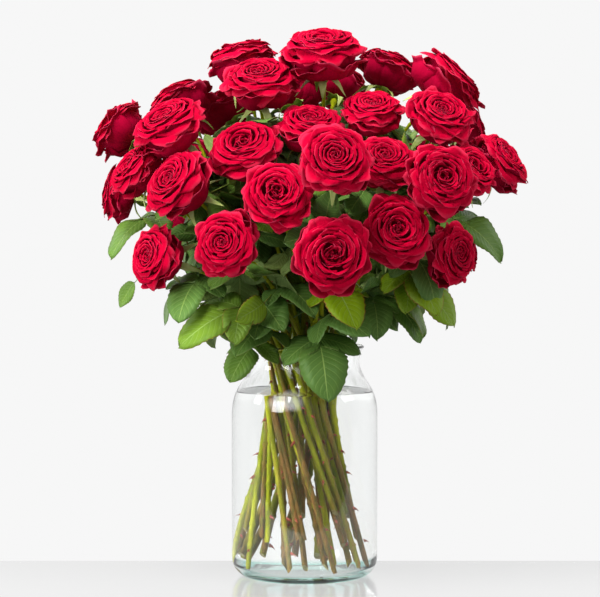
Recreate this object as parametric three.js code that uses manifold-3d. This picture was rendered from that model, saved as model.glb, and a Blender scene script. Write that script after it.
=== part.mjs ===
// Forty red roses in a clear glass vase of water. Millimetres, +Z up.
// The origin is the centre of the vase's foot, on the surface it stands on. -Y is the side it is seen from.
//
// The stems are tied by hand in a spiral: each one crosses the others at a waist in the vase's neck, so that
// a rose on the left has its cut end on the right. Stems that press together at the waist are one solid, with
// their leaves.
import * as THREE from "three";
import Module from "manifold-3d";

const wasm = await Module();
wasm.setup();

// ------------------------------------------------------------------------------------------- sizes
const VASE = { height: 300, body: 95, neck: 71.5, rim: 77.5, foot: 80, wall: 3.6, floor: 9, sides: 22 };
const WATER_LEVEL = 240;
const WATER_GAP = 0.35; // between the water and the glass

// The stems cross at the waist, which leans towards -X. They end at the foot, no further out than its limit.
// About the vase's axis, a stem turns by so many degrees from its bloom to the waist, and on to the foot.
const WAIST = { z: 268, radius: 38, lean: -7, turn: 54 };
const FOOT = { z: 14, radius: 78, limit: 79, turn: 76 };
const FOOT_SCATTER = { turn: 16, radius: 0.08 }; // how unevenly the stems stand: degrees, and a share
const WIDEST_BLOOM = 240; // from the vase's axis
const WAIST_SPREAD = 0.75; // below 1, it moves the inner stems outwards at the waist
const SHORTEST_CUT = 0.3; // most stems reach the floor, and a few were cut shorter, by up to this share

const STEM_RADIUS = 3.3;
const STEM_SIDES = 5;
const STEM_STEPS = 5; // straight pieces from the waist up to the bloom
const STEM_BEND = { low: 0.34, high: 0.3 }; // how far each end of a stem's bend keeps straight, as a share
const STEM_SPACING = 8.6; // between the middles of two stems that don't touch, across the vase
const SETTLE_ROUNDS = 80;
const PRESS = 0.8; // from a stem's middle to the middle of its bunch at the waist, in stem radii
const NECK_SHARE = 0.85; // a stem thins out below its bloom
const HOLE_SIDES = 6;
const HOLE_CLEARANCE = 1; // a hole's flat sides come nearer to the stem than its corners do
const HOLE_DEPTH = 1.5; // below the stem's cut end

const HEAD_HEIGHT = 0.6; // a bloom's height as a share of its width
const HEAD_MIDDLE = 0.34; // how far the middle of a bloom is above its base, as a share of its width
const SEAT_GAP = 0.35; // between a bloom and the green cup that holds it
const HIP = { radius: 6.2, length: 9, widest: -5 }; // widest is measured from the base of the bloom
const SEPAL = { reach: 27, scatter: 0.3, drop: 11, half: 7.5, seat: -1.2 };

// A leaf's stalk is twice petiole wide. Its side leaflets grow node behind the end one, spread by so many
// degrees, and are side times as long. The leaf arches by bow, a share of its reach, and its sides droop.
// Its upper face leans outwards from the vase's axis, and facing sets how little.
const LEAF = {
  thickness: 1.1, petiole: 1.3, node: 18, spread: 70, side: 0.7, bow: 0.16, droop: 0.3, facing: 160,
};

// Each rose: the middle of its bloom (x, y, z), the way it faces (degrees from the viewer towards +X, and
// degrees above the horizon), the bloom's width, and the bunch of stems it presses against at the waist.
const ROSES = [
  [24, -20, 681, -3, 66, 108, 1],
  [-81, 50, 677, -100, 78, 98, 2],
  [-58, -45, 639, -8, 60, 100, 1],
  [111, 55, 662, 125, 62, 88, 3],
  [188, 2, 642, 92, 46, 106, 3],
  [-165, 50, 620, -120, 62, 92, 4],
  [-245, 30, 582, -105, 36, 90, 5],
  [-172, -65, 583, -45, 52, 102, 6],
  [-106, 110, 611, -150, 48, 82, 4],
  [-11, 95, 633, 178, 50, 80, 2],
  [47, 130, 645, 160, 48, 80, 7],
  [-74, -95, 551, -20, 46, 100, 8],
  [7, -75, 581, 5, 60, 86, 8],
  [86, -50, 601, 0, 60, 85, 9],
  [170, -75, 593, 24, 44, 92, 9],
  [214, 70, 592, 110, 30, 78, 10],
  [36, -205, 534, 2, 24, 94, 11],
  [98, -130, 534, 8, 44, 86, 12],
  [166, -172, 511, 14, 16, 92, 16],
  [252, -31, 538, 62, 38, 90, 13],
  [208, -98, 524, 42, 34, 76, 13],
  [-217, -46, 526, -66, 36, 84, 6],
  [-248, 40, 501, -92, 12, 80, 5],
  [-160, -112, 508, -48, 32, 98, 14],
  [-33, -165, 493, -5, 22, 90, 11],
  [-188, -95, 416, -50, 12, 86, 14],
  [-97, -160, 433, -20, 10, 86, 15],
  [34, -195, 420, 0, 2, 100, 15],
  [111, -152, 449, 14, 14, 95, 12],
  [184, -113, 420, 48, 6, 82, 16],
  [-160, 150, 540, -145, 26, 84, 17],
  [-25, 185, 560, 178, 24, 88, 7],
  [75, 185, 572, 158, 26, 84, 7],
  [174, 135, 545, 128, 26, 86, 18],
  [-172, 118, 452, -118, 12, 82, 17],
  [-98, 185, 442, -160, 8, 86, 17],
  [24, 205, 444, 172, 6, 88, 7],
  [126, 180, 456, 146, 8, 84, 18],
  [192, 112, 466, 114, 10, 84, 18],
  [208, 20, 425, 88, 4, 82, 10],
];

// Each leaf has three leaflets: the rose whose stem bears it, the height it leaves the stem at, its tip
// (x, y, z), and the length of the leaflet at its end.
const LEAVES = [
  [7, 308, [-94, -92, 262], 52],
  [21, 468, [252, -60, 415], 64],
  [22, 316, [-84, -112, 300], 62],
  [22, 418, [-148, -70, 452], 50],
  [23, 468, [-252, -25, 422], 66],
  [23, 408, [-190, 40, 330], 66],
  [26, 388, [-154, -120, 312], 68],
  [26, 348, [-150, -78, 330], 70],
  [27, 368, [-60, -130, 400], 56],
  [28, 320, [29, -120, 244], 74],
  [28, 328, [76, -125, 325], 62],
  [30, 398, [165, -115, 350], 60],
  [30, 388, [190, -80, 335], 62],
  [30, 368, [150, -55, 312], 52],
  [35, 378, [-130, 110, 300], 66],
  [36, 418, [-60, 150, 330], 68],
  [38, 378, [80, 150, 320], 66],
  [39, 318, [10, 130, 268], 68],
  [39, 438, [215, 78, 387], 60],
  [40, 388, [150, 110, 330], 64],
  [40, 408, [195, 40, 325], 66],
];

// ------------------------------------------------------------------------------------- small tools
const vec = (x, y, z) => new THREE.Vector3(x, y, z);
const rad = THREE.MathUtils.degToRad;

// A number from 0 to 1 that is always the same for the same seed.
function chance(seed) {
  const s = Math.sin(seed * 12.9898) * 43758.5453;
  return s - Math.floor(s);
}

function direction(yaw, tilt) {
  return vec(0, -1, 0).applyAxisAngle(vec(-1, 0, 0), rad(tilt)).applyAxisAngle(vec(0, 0, 1), rad(yaw));
}

function solid(vertices, triangles) {
  const vertProperties = new Float32Array(vertices.flatMap((v) => [v.x, v.y, v.z]));
  const triVerts = new Uint32Array(triangles.flat());
  return new wasm.Manifold(new wasm.Mesh({ numProp: 3, vertProperties, triVerts }));
}

function geometryOf(manifold) {
  const mesh = manifold.getMesh();
  const geometry = new THREE.BufferGeometry();
  geometry.setAttribute("position", new THREE.BufferAttribute(new Float32Array(mesh.vertProperties), 3));
  geometry.setIndex(new THREE.BufferAttribute(new Uint32Array(mesh.triVerts), 1));
  return geometry;
}

function ringRound(point, across, side, radius, sides) {
  return Array.from({ length: sides }, (_, j) => {
    const a = (2 * Math.PI * j) / sides;
    const [out, up] = [Math.cos(a) * radius, Math.sin(a) * radius];
    return point.clone().addScaledVector(across, out).addScaledVector(side, up);
  });
}

// Joins rings of points into one closed skin. A ring of one point closes an end. Next to each other, a ring
// may have the same number of points, twice as many, or one. The points of a ring run anticlockwise seen from
// its far side.
function skin(rings) {
  const vertices = rings.flat();
  const starts = [];
  rings.reduce((at, ring) => (starts.push(at), at + ring.length), 0);
  const triangles = [];
  for (let r = 0; r + 1 < rings.length; r++) {
    const [a, b] = [rings[r].length, rings[r + 1].length];
    const low = (k) => starts[r] + (k % a);
    const high = (k) => starts[r + 1] + (k % b);
    for (let k = 0; k < Math.max(a, b); k++) {
      if (a === 1) triangles.push([low(0), high(k + 1), high(k)]);
      else if (b === 1) triangles.push([low(k), low(k + 1), high(0)]);
      else if (a === b) triangles.push([low(k), low(k + 1), high(k + 1)], [low(k), high(k + 1), high(k)]);
      else if (k % 2 === 1) triangles.push([low((k + 1) / 2), high(k + 1), high(k)]);
      else {
        const h = k / 2;
        triangles.push([low(h), low(h + 1), high(k + 1)], [low(h), high(k + 1), high(k)]);
      }
    }
  }
  return solid(vertices, triangles);
}

// ------------------------------------------------------------------------------- the stems' routes
const plan = (angle, radius) => new THREE.Vector2(Math.cos(angle) * radius, Math.sin(angle) * radius);
const BUNCHES = Math.max(...ROSES.map((rose) => rose[6]));

// Where each stem would cross a waist round the vase's axis if it touched no other, in the plan.
const OWN_PLACES = ROSES.map(([x, y]) => {
  const share = Math.min(1, Math.hypot(x, y) / WIDEST_BLOOM) ** WAIST_SPREAD;
  return plan(Math.atan2(y, x) + rad(WAIST.turn), WAIST.radius * share);
});

// Where each stem's cut end stands, in the plan.
const feet = OWN_PLACES.map((own, i) => {
  const turn = rad(FOOT.turn + FOOT_SCATTER.turn * (chance(i + 1) - 0.5));
  const share = (own.length() / WAIST.radius) * (1 - FOOT_SCATTER.radius * (1 - chance(i + 51)));
  return plan(own.angle() + turn, FOOT.radius * share);
});

// The waist leans, and each bunch crosses it in the middle of its stems' own places.
OWN_PLACES.forEach((own) => {
  own.x += WAIST.lean;
});
const places = Array.from({ length: BUNCHES }, (_, b) => {
  const members = OWN_PLACES.filter((_, i) => ROSES[i][6] === b + 1);
  return members.reduce((sum, place) => sum.addScaledVector(place, 1 / members.length), new THREE.Vector2());
});

function waistOf(i) {
  const place = places[ROSES[i][6] - 1];
  return OWN_PLACES[i].clone().sub(place).normalize().multiplyScalar(STEM_RADIUS * PRESS).add(place);
}

// Bends the stems of different bunches clear of each other, from their cut ends up to the vase's rim.
function settle() {
  const span = WAIST.z - FOOT.z;
  for (let round = 0; round < SETTLE_ROUNDS; round++) {
    for (let i = 0; i < ROSES.length; i++) {
      for (let j = i + 1; j < ROSES.length; j++) {
        if (ROSES[i][6] === ROSES[j][6]) continue;
        const low = feet[i].clone().sub(feet[j]);
        const change = waistOf(i).sub(waistOf(j)).sub(low);
        const nearest = -low.dot(change) / Math.max(change.lengthSq(), 1e-9);
        const share = Math.min(Math.max(nearest, 0), (VASE.height - FOOT.z) / span);
        const apart = low.addScaledVector(change, share);
        const short = STEM_SPACING - apart.length();
        if (short <= 0) continue;
        apart.normalize().multiplyScalar(0.5 * short);
        const high = Math.min(share, 1);
        feet[i].addScaledVector(apart, 1 - high);
        feet[j].addScaledVector(apart, high - 1);
        places[ROSES[i][6] - 1].addScaledVector(apart, high);
        places[ROSES[j][6] - 1].addScaledVector(apart, -high);
      }
    }
    feet.forEach((foot) => foot.clampLength(0, FOOT.limit));
  }
}
settle();

// Where a rose is, the way it faces, and its stem's route from the cut end up to the bloom.
function plant(i) {
  const [x, y, z, yaw, tilt, width, bunch] = ROSES[i];
  const axis = direction(yaw, tilt);
  const base = vec(x, y, z).addScaledVector(axis, -HEAD_MIDDLE * width);
  const waist = vec(waistOf(i).x, waistOf(i).y, WAIST.z);
  const foot = vec(feet[i].x, feet[i].y, FOOT.z);
  foot.lerp(waist, SHORTEST_CUT * chance(i + 101) ** 3);
  const rise = waist.clone().sub(foot).normalize();
  const hip = base.clone().addScaledVector(axis, -HIP.length);
  const span = hip.distanceTo(waist);
  const low = waist.clone().addScaledVector(rise, STEM_BEND.low * span);
  const high = hip.clone().addScaledVector(axis, -STEM_BEND.high * span);
  const route = new THREE.CubicBezierCurve3(waist, low, high, hip);
  return { axis, base, width, bunch, foot, waist, points: [foot, ...route.getPoints(STEM_STEPS)], seed: i };
}

const PLANTS = ROSES.map((_, i) => plant(i));

// The point at a height on a stem.
function onStem({ points }, height) {
  const k = points.findIndex((point, n) => n > 0 && point.z > height);
  const [below, above] = [points[k - 1], points[k]];
  return below.clone().lerp(above, (height - below.z) / (above.z - below.z));
}

// ----------------------------------------------------------------------------------------- a bloom
// Rings of a bloom from its base to its heart: how far out its petals' tips and the clefts between them are,
// how high they are, and which layer they belong to. The petals of a layer stand over the clefts of the one
// below, and their lips overhang the creases behind them.
const BLOOM_RINGS = [
  { tip: 0.3, cleft: 0.28, up: 0.06, down: 0.06, layer: 0 },
  { tip: 0.76, cleft: 0.66, up: 0.3, down: 0.34, layer: 0 },
  { tip: 1.0, cleft: 0.82, up: 0.4, down: 0.5, layer: 0 },
  { tip: 0.74, cleft: 0.72, up: 0.52, down: 0.55, layer: 0 },
  { tip: 0.84, cleft: 0.7, up: 0.66, down: 0.73, layer: 1 },
  { tip: 0.55, cleft: 0.5, up: 0.72, down: 0.75, layer: 1 },
  { tip: 0.56, cleft: 0.44, up: 0.9, down: 0.97, layer: 2 },
  { tip: 0.27, cleft: 0.24, up: 0.8, down: 0.84, layer: 2 },
];
const PETALS = 5;
const PETAL_SCATTER = 0.12; // how unevenly the petals reach out, as a share

function bloom({ axis, base, width, seed }) {
  const turn = new THREE.Quaternion().setFromUnitVectors(vec(0, 0, 1), axis);
  const spin = 2 * Math.PI * chance(seed + 201);
  const place = (r, angle, h) =>
    vec(Math.cos(angle) * r * width / 2, Math.sin(angle) * r * width / 2, h * HEAD_HEIGHT * width + SEAT_GAP)
      .applyQuaternion(turn).add(base);
  const rings = BLOOM_RINGS.map(({ tip, cleft, up, down, layer }, n) =>
    Array.from({ length: 2 * PETALS }, (_, k) => {
      const isTip = (k + layer) % 2 === 0;
      const own = n > 0 ? 1 + PETAL_SCATTER * (chance(seed * 31 + layer * 11 + k) - 0.5) : 1;
      return place((isTip ? tip : cleft) * own, spin + (Math.PI * k) / PETALS, isTip ? up : down);
    }));
  return skin([[place(0, 0, 0)], ...rings, [place(0, 0, 0.98)]]);
}

// ----------------------------------------------------------------- a stem, with its hip and sepals
function stem({ axis, points, base, seed }) {
  let across = vec(1, 0, 0);
  const rings = points.map((point, k) => {
    const [before, after] = [points[Math.max(k - 1, 0)], points[Math.min(k + 1, points.length - 1)]];
    const along = after.clone().sub(before).normalize();
    if (k === points.length - 1) along.copy(axis);
    across = across.clone().addScaledVector(along, -across.dot(along)).normalize();
    const side = along.clone().cross(across);
    return ringRound(point, across, side, STEM_RADIUS * (k > STEM_STEPS - 1 ? NECK_SHARE : 1), STEM_SIDES);
  });
  const side = axis.clone().cross(across);
  const star = (radius, height, count, sepals) => Array.from({ length: count }, (_, j) => {
    const a = (2 * Math.PI * j) / count;
    const long = sepals && j % 2 === 0;
    const r = long ? SEPAL.reach * (1 + SEPAL.scatter * (chance(seed * 7 + j) - 0.5)) : radius;
    const h = long ? height - SEPAL.drop : height;
    return base.clone().addScaledVector(across, Math.cos(a) * r).addScaledVector(side, Math.sin(a) * r)
      .addScaledVector(axis, h);
  });
  rings.push(star(HIP.radius, HIP.widest, STEM_SIDES, false));
  rings.push(star(SEPAL.half, SEPAL.seat, 2 * STEM_SIDES, true));
  return skin([[points[0]], ...rings, [base.clone()]]);
}

// ------------------------------------------------------------------------------------------ a leaf
// Half a leaflet's outline from its stalk to its tip: how far along, and how wide. The edge is cut in teeth.
const LEAFLET = [[0.12, 0.22], [0.3, 0.36], [0.46, 0.31], [0.64, 0.28], [0.82, 0.14]];

function leafletOutline(length, x, y, angle) {
  const turned = (u, v) => new THREE.Vector2(u * length, v * length).rotateAround(new THREE.Vector2(), angle)
    .add(new THREE.Vector2(x, y));
  const right = LEAFLET.map(([u, v]) => turned(u, -v));
  const left = LEAFLET.map(([u, v]) => turned(u, v));
  return [...right, turned(1, 0), ...left.toReversed()];
}

function leaf([rose, height, tip, length]) {
  const root = onStem(PLANTS[rose - 1], height);
  const chord = vec(...tip).sub(root);
  const reach = chord.length();
  const along = chord.clone().normalize();
  const up = vec(root.x, root.y, LEAF.facing).normalize();
  up.addScaledVector(along, -up.dot(along)).normalize();
  const side = up.clone().cross(along);

  // The outline lies in the plane of along and side. It is one chain down each side of the leaf.
  const stalk = (x, way) => new THREE.Vector2(x, way * LEAF.petiole);
  const pair = reach - length - LEAF.node;
  const chain = (way) => {
    const leaflet = leafletOutline(LEAF.side * length, pair, way * LEAF.petiole, way * rad(LEAF.spread));
    const points = way < 0 ? leaflet : leaflet.toReversed();
    return [stalk(0, way), stalk(pair - LEAF.petiole, way), ...points, stalk(pair + LEAF.petiole, way)];
  };
  const end = leafletOutline(length, reach - length, 0, 0);
  const right = [...chain(-1), stalk(reach - length, -1), ...end];
  const left = [...chain(1), stalk(reach - length, 1)];
  const outline = [...right, ...left.toReversed()];

  const lift = (p) => {
    const share = p.x / reach;
    return 4 * LEAF.bow * reach * share * (1 - share) - (LEAF.droop * p.y * p.y) / length;
  };
  const place = (p, offset) => root.clone().addScaledVector(along, p.x).addScaledVector(side, p.y)
    .addScaledVector(up, lift(p) + offset);
  const faces = THREE.ShapeUtils.triangulateShape(outline, []);
  const n = outline.length;
  const face = (offset) => outline.map((p) => place(p, offset));
  const vertices = [...face(LEAF.thickness / 2), ...face(-LEAF.thickness / 2)];
  const triangles = [...faces, ...faces.map(([a, b, c]) => [c + n, b + n, a + n])];
  for (let k = 0; k < n; k++) {
    const next = (k + 1) % n;
    triangles.push([k, k + n, next + n], [k, next + n, next]);
  }
  return solid(vertices, triangles);
}

// ---------------------------------------------------------------------------------- vase and water
// The outside of the vase, from the foot's edge to the rim: radius and height.
const OUTSIDE = [
  [VASE.foot, 0], [VASE.body - 4, 9], [VASE.body, 22], [VASE.body, 212], [VASE.body - 2, 231],
  [VASE.body - 7, 243], [VASE.neck + 8, 257], [VASE.neck + 1.5, 267], [VASE.neck, 277], [VASE.neck + 1.5, 289],
  [VASE.rim, 297], [VASE.rim, VASE.height],
];
const INSIDE = [
  [VASE.rim - VASE.wall, VASE.height], [VASE.neck - VASE.wall + 0.5, 289], [VASE.neck - VASE.wall, 277],
  [VASE.neck - VASE.wall + 1.5, 267], [VASE.neck + 5, 257], [VASE.body - 9.5, 243],
  [VASE.body - VASE.wall - 2, 231], [VASE.body - VASE.wall, 212], [VASE.body - VASE.wall, 24],
  [VASE.body - 9, 14], [VASE.foot - 6, VASE.floor],
];

function lathe(profile) {
  const geometry = new THREE.LatheGeometry(profile.map(([r, z]) => new THREE.Vector2(r, z)), VASE.sides);
  return geometry.rotateX(Math.PI / 2);
}

function manifoldOf(geometry) {
  const positions = geometry.getAttribute("position");
  const index = new Map();
  const vertices = [];
  const at = [];
  for (let i = 0; i < positions.count; i++) {
    const p = vec().fromBufferAttribute(positions, i);
    const key = [p.x, p.y, p.z].map((c) => Math.round(c * 1000)).join();
    if (!index.has(key)) {
      index.set(key, vertices.length);
      vertices.push(p);
    }
    at.push(index.get(key));
  }
  const triangles = [];
  for (let i = 0; i < geometry.index.count; i += 3) {
    const t = [0, 1, 2].map((k) => at[geometry.index.getX(i + k)]);
    if (new Set(t).size === 3) triangles.push(t);
  }
  return solid(vertices, triangles);
}

function vase() {
  return manifoldOf(lathe([[0, 0], ...OUTSIDE, ...INSIDE, [0, VASE.floor]]));
}

// A plain straight hole for the part of a stem that stands in the water.
function hole({ foot, waist }) {
  const rise = waist.clone().sub(foot).normalize();
  const across = vec(1, 0, 0).addScaledVector(rise, -rise.x).normalize();
  const side = rise.clone().cross(across);
  const ring = (point) => ringRound(point, across, side, STEM_RADIUS + HOLE_CLEARANCE, HOLE_SIDES);
  const below = foot.clone().addScaledVector(rise, -HOLE_DEPTH);
  return skin([[below], ring(below), ring(waist), [waist]]);
}

// The water fills the vase up to its level, with a plain hole for each stem.
function water() {
  const below = INSIDE.filter(([, z]) => z < WATER_LEVEL).reverse();
  const [r0, z0] = below.at(-1);
  const [r1, z1] = INSIDE[INSIDE.length - below.length - 1];
  const brim = r0 + ((r1 - r0) * (WATER_LEVEL - z0)) / (z1 - z0);
  const floor = VASE.floor + WATER_GAP;
  const wall = [...below, [brim, WATER_LEVEL]].map(([r, z]) => [r - WATER_GAP, Math.max(z, floor)]);
  const body = manifoldOf(lathe([[0, floor], ...wall, [0, WATER_LEVEL]]));
  return body.subtract(wasm.Manifold.union(PLANTS.map(hole)));
}

// ---------------------------------------------------------------------------------------- assembly
const finish = (color, roughness) => new THREE.MeshStandardMaterial({ color, roughness, metalness: 0 });
const clear = (color, roughness, opacity) =>
  new THREE.MeshStandardMaterial({ color, roughness, metalness: 0, transparent: true, opacity });
const FINISH = {
  petals: finish(0xb8102a, 0.62),
  greens: finish(0x3f6b2a, 0.55),
  glass: clear(0xe8f1ee, 0.04, 0.35),
  water: clear(0xeef4f2, 0.02, 0.3),
};

const group = new THREE.Group();
function show(name, manifold, material) {
  const mesh = new THREE.Mesh(geometryOf(manifold), material);
  mesh.name = name;
  group.add(mesh);
}

const two = (n) => String(n).padStart(2, "0");
PLANTS.forEach((p, i) => show(`bloom_${two(i + 1)}`, bloom(p), FINISH.petals));

const leavesOf = (rose) => LEAVES.filter((l) => l[0] === rose + 1).map(leaf);
for (let b = 1; b <= BUNCHES; b++) {
  const parts = PLANTS.filter((p) => p.bunch === b).flatMap((p) => [stem(p), ...leavesOf(p.seed)]);
  show(`stems_${two(b)}`, wasm.Manifold.union(parts), FINISH.greens);
}
show("vase", vase(), FINISH.glass);
show("water", water(), FINISH.water);

export default group;
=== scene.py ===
# %% [markdown]
# # Red roses in a glass vase, modelled in Blender
#
# Forty full-blown red roses stand in a clear bottle-necked vase of water. The imported model holds every
# bloom, stem, leaf and the vase as plain solids at their real place and size. This lesson builds the fine
# pieces that take their place: petals, sepals, toothed leaves, thorny stems, glass and water. It begins by
# loading the plain ones.

# %% Load the imported model
from itertools import combinations
from math import atan2, cos, floor, hypot, pi, radians, sin, sqrt

import bpy
import numpy as np
from mathutils import Matrix, Vector


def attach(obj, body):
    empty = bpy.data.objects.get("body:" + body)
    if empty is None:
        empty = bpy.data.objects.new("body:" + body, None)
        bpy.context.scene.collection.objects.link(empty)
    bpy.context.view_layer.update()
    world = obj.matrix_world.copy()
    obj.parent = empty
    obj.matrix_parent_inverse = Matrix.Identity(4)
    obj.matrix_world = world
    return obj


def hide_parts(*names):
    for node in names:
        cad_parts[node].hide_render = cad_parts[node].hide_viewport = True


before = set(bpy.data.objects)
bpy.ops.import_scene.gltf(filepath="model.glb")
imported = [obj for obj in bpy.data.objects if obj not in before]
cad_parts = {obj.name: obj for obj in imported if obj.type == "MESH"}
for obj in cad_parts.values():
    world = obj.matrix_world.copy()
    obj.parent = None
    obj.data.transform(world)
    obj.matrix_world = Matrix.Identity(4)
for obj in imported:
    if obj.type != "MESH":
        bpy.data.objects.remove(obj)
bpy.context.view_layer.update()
MM = 0.001
print("nodes in the packed model:", len(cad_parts))

# %% [markdown]
# ## The camera
#
# The picture was taken from about two and a half metres away, at the height of the lowest roses, with a
# long lens that looks down by two degrees.

# %% Camera
def new_object(name, data):
    """Puts new data into the scene as an object."""
    obj = bpy.data.objects.new(name, data)
    bpy.context.scene.collection.objects.link(obj)
    return obj


CAMERA_PLACE = Vector((-0.006, -2.608, 0.45))
CAMERA_DOWN = radians(1.96)
CAMERA_LENS = 120.4

camera_data = bpy.data.cameras.new("camera")
camera_data.sensor_width = 36
camera_data.lens = CAMERA_LENS
camera = new_object("camera", camera_data)
camera.location = CAMERA_PLACE
camera.rotation_euler = (pi / 2 - CAMERA_DOWN, 0, 0)
bpy.context.scene.camera = camera
print("camera to the vase's axis, in m:", -CAMERA_PLACE.y)

# %% [markdown]
# ## Where everything grows
#
# A florist ties such a bouquet in a spiral: every stem crosses the others at one waist, in the neck of the
# vase, so a rose on the left has its cut end on the right. Each rose is one row: the middle of its bloom,
# the way it faces, its width, and the bunch of stems that it presses against. The rest is worked out from
# these rows, exactly as for the plain solids, so the fine pieces lie where those are.

# %% The roses, in millimetres and degrees
# x, y, z of the bloom's middle, degrees from the viewer towards +X, degrees above the horizon, width, bunch
ROSES = [
    (24, -20, 681, -3, 66, 108, 1),
    (-81, 50, 677, -100, 78, 98, 2),
    (-58, -45, 639, -8, 60, 100, 1),
    (111, 55, 662, 125, 62, 88, 3),
    (188, 2, 642, 92, 46, 106, 3),
    (-165, 50, 620, -120, 62, 92, 4),
    (-245, 30, 582, -105, 36, 90, 5),
    (-172, -65, 583, -45, 52, 102, 6),
    (-106, 110, 611, -150, 48, 82, 4),
    (-11, 95, 633, 178, 50, 80, 2),
    (47, 130, 645, 160, 48, 80, 7),
    (-74, -95, 551, -20, 46, 100, 8),
    (7, -75, 581, 5, 60, 86, 8),
    (86, -50, 601, 0, 60, 85, 9),
    (170, -75, 593, 24, 44, 92, 9),
    (214, 70, 592, 110, 30, 78, 10),
    (36, -205, 534, 2, 24, 94, 11),
    (98, -130, 534, 8, 44, 86, 12),
    (166, -172, 511, 14, 16, 92, 16),
    (252, -31, 538, 62, 38, 90, 13),
    (208, -98, 524, 42, 34, 76, 13),
    (-217, -46, 526, -66, 36, 84, 6),
    (-248, 40, 501, -92, 12, 80, 5),
    (-160, -112, 508, -48, 32, 98, 14),
    (-33, -165, 493, -5, 22, 90, 11),
    (-188, -95, 416, -50, 12, 86, 14),
    (-97, -160, 433, -20, 10, 86, 15),
    (34, -195, 420, 0, 2, 100, 15),
    (111, -152, 449, 14, 14, 95, 12),
    (184, -113, 420, 48, 6, 82, 16),
    (-160, 150, 540, -145, 26, 84, 17),
    (-25, 185, 560, 178, 24, 88, 7),
    (75, 185, 572, 158, 26, 84, 7),
    (174, 135, 545, 128, 26, 86, 18),
    (-172, 118, 452, -118, 12, 82, 17),
    (-98, 185, 442, -160, 8, 86, 17),
    (24, 205, 444, 172, 6, 88, 7),
    (126, 180, 456, 146, 8, 84, 18),
    (192, 112, 466, 114, 10, 84, 18),
    (208, 20, 425, 88, 4, 82, 10),
]
BUNCH_OF = [rose[6] - 1 for rose in ROSES]
BUNCHES = max(BUNCH_OF) + 1

WIDEST_PLACE = 240
WAIST_HEIGHT = 268
WAIST_RADIUS = 38
WAIST_CROWDING = 0.75
WAIST_LEAN = -7
WAIST_TURN = 54
FOOT_HEIGHT = 14
FOOT_RADIUS = 78
FOOT_LIMIT = 79
FOOT_SHARE = (0.92, 0.08)
FOOT_TURN = 76
TURN_SPREAD = 16
STEM_RADIUS = 3.3
PRESS = 0.8
STEM_SPACING = 8.6
SETTLE_ROUNDS = 80
RIM_HEIGHT = 300


# %% Seeded numbers and directions
def chance(seed):
    """A number from 0 to 1 that is always the same for the same seed."""
    s = sin(seed * 12.9898) * 43758.5453
    return s - floor(s)


def chances(count, seed, part=0):
    """Several such numbers. A part that is added to the seeds keeps them apart from other draws."""
    return [chance(seed + k + part) for k in range(count)]


def direction(yaw, tilt):
    yaw, tilt = radians(yaw), radians(tilt)
    return Vector((sin(yaw) * cos(tilt), -cos(yaw) * cos(tilt), sin(tilt)))


# %% [markdown]
# The plan of the stems is worked out with complex numbers, which are handy as points on a plane. Each stem
# first goes where it would like to be at the waist and at its foot. Then, round after round, stems of
# different bunches that come too near each other are pushed apart, as they push each other in a real vase.

# %% Where each stem crosses the waist and where it stands
def plan(angle, radius):
    return complex(cos(angle), sin(angle)) * radius


def angle_of(point):
    return atan2(point.imag, point.real)


own_places = []
for x, y, *_ in ROSES:
    reach = WAIST_RADIUS * min(1, hypot(x, y) / WIDEST_PLACE) ** WAIST_CROWDING
    own_places.append(plan(atan2(y, x) + radians(WAIST_TURN), reach))

feet = []
for i, own in enumerate(own_places):
    turn = radians(FOOT_TURN + TURN_SPREAD * (chance(i + 1) - 0.5))
    reach = FOOT_RADIUS * abs(own) / WAIST_RADIUS
    feet.append(plan(angle_of(own) + turn, reach * (FOOT_SHARE[0] + FOOT_SHARE[1] * chance(i + 51))))

own_places = [own + WAIST_LEAN for own in own_places]
places = []
for b in range(BUNCHES):
    members = [own for own, bunch in zip(own_places, BUNCH_OF) if bunch == b]
    places.append(sum(members) / len(members))


def waist_of(i):
    place = places[BUNCH_OF[i]]
    away = own_places[i] - place
    return place + away / max(abs(away), 1e-9) * STEM_RADIUS * PRESS


for _ in range(SETTLE_ROUNDS):
    for i, j in combinations(range(len(ROSES)), 2):
        a, b = BUNCH_OF[i], BUNCH_OF[j]
        if a == b:
            continue
        low = feet[i] - feet[j]
        change = waist_of(i) - waist_of(j) - low
        nearest = -(low * change.conjugate()).real / max(abs(change) ** 2, 1e-9)
        share = min(max(nearest, 0), (RIM_HEIGHT - FOOT_HEIGHT) / (WAIST_HEIGHT - FOOT_HEIGHT))
        apart = low + change * share
        short = STEM_SPACING - abs(apart)
        if short <= 0:
            continue
        apart *= 0.5 * short / abs(apart)
        high = min(share, 1)
        feet[i] += apart * (1 - high)
        feet[j] -= apart * (1 - high)
        places[a] += apart * high
        places[b] -= apart * high
    feet = [foot * min(1, FOOT_LIMIT / abs(foot)) for foot in feet]
print("widest foot of a stem from the vase's axis, in mm:", round(max(map(abs, feet)), 1))


# %% [markdown]
# Above the waist a stem bends gently towards its bloom. A Bezier curve gives that bend: it leaves the waist
# in the line of the straight stem below, and it arrives at the bloom along the bloom's own axis.

# %% Each plant: its bloom's place and axis, and its stem's route, in metres
HEAD_MIDDLE = 0.34
HIP_LENGTH = 9
SHORTEST_CUT = 0.3
BEND_LOW = 0.34
BEND_HIGH = 0.3
LOW_STEPS = 9
HIGH_STEPS = 22
HALVINGS = 24


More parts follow.
